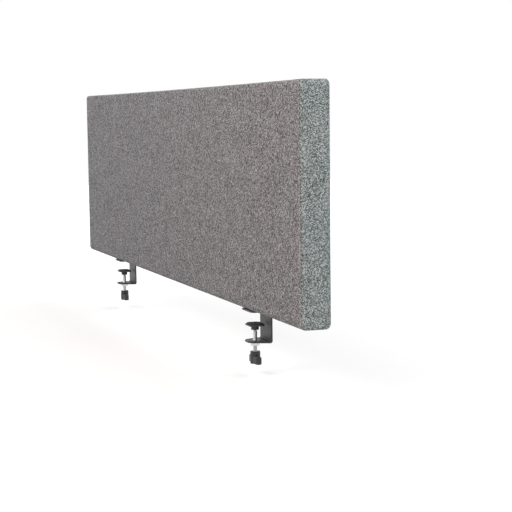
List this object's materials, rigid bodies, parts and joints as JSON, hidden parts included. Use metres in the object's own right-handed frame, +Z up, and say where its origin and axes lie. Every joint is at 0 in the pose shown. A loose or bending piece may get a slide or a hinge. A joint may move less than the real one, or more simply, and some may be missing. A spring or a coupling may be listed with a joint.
{
  "type": "acoustic desk divider screen",
  "caption": "Long low acoustic divider panel, padded and covered in grey melange cloth, with screw clamps that hold it along a desk's edge.",
  "frame": {"origin": "on the desk's top, at mid-length, in the middle of the panel's thickness", "axes": "+X along the panel, to the right as its front is faced; +Y from the front to the rear, away from the desk; +Z up"},
  "size_m": [1.6, 0.05, 0.499],
  "materials": {
    "panel_cloth": "matte",
    "border_cloth": "matte",
    "foam": "matte",
    "absorber_felt": "matte",
    "softwood": "matte",
    "tenon_wood": "matte",
    "hardboard": "matte",
    "strip_cloth": "matte",
    "staple_wire": "satin",
    "insert_brass": "satin",
    "powder_coat": "satin",
    "zinc_steel": "satin",
    "knob_plastic": "matte",
    "pad_plastic": "matte",
    "pad_rubber": "matte"
  },
  "bodies": {
    "screen": {"cover_front": "panel_cloth", "cover_rear": "panel_cloth", "cover_border": "border_cloth", "foam_front": "foam", "foam_rear": "foam", "edge_pad_top": "foam", "edge_pad_left": "foam", "edge_pad_right": "foam", "frame_top_rail": "softwood", "frame_bottom_rail": "softwood", "frame_left_stile": "softwood", "frame_right_stile": "softwood", "frame_tenons": "tenon_wood", "septum_board": "hardboard", "batten_front_left": "softwood", "batten_front_right": "softwood", "batten_rear_left": "softwood", "batten_rear_right": "softwood", "absorber_front_left": "absorber_felt", "absorber_front_middle": "absorber_felt", "absorber_front_right": "absorber_felt", "absorber_rear_left": "absorber_felt", "absorber_rear_middle": "absorber_felt", "absorber_rear_right": "absorber_felt", "closing_strip": "strip_cloth", "hem_staples": "staple_wire", "threaded_inserts": "insert_brass", "bracket_screws": "zinc_steel", "clamp_nuts": "zinc_steel", "clamp_bracket_left": "powder_coat", "clamp_bracket_right": "powder_coat"},
    "left_pad": {"clamp_pad_cup_left": "pad_plastic", "clamp_pad_rubber_left": "pad_rubber"},
    "left_spindle": {"clamp_screw_left": "zinc_steel", "clamp_knob_left": "knob_plastic"},
    "right_pad": {"clamp_pad_cup_right": "pad_plastic", "clamp_pad_rubber_right": "pad_rubber"},
    "right_spindle": {"clamp_screw_right": "zinc_steel", "clamp_knob_right": "knob_plastic"}
  },
  "joints": [
    {"name": "left_pad_travel", "type": "slide", "parent": "screen", "child": "left_pad", "axis": [0, 0, 1], "range_m": [-0.01805, 0.01005]},
    {"name": "left_screw_turn", "type": "hinge", "parent": "left_pad", "child": "left_spindle", "pos_m": [-0.5, -0.005, -0.029], "axis": [0, 0, 1], "range_deg": [-5184, 2880]},
    {"name": "right_pad_travel", "type": "slide", "parent": "screen", "child": "right_pad", "axis": [0, 0, 1], "range_m": [-0.01805, 0.01005]},
    {"name": "right_screw_turn", "type": "hinge", "parent": "right_pad", "child": "right_spindle", "pos_m": [0.5, -0.005, -0.029], "axis": [0, 0, 1], "range_deg": [-5184, 2880]}
  ],
  "couplings": [
    {"joint": "left_pad_travel", "follows": "left_screw_turn", "m_per_rad": 0.00019894},
    {"joint": "right_pad_travel", "follows": "right_screw_turn", "m_per_rad": 0.00019894}
  ]
}
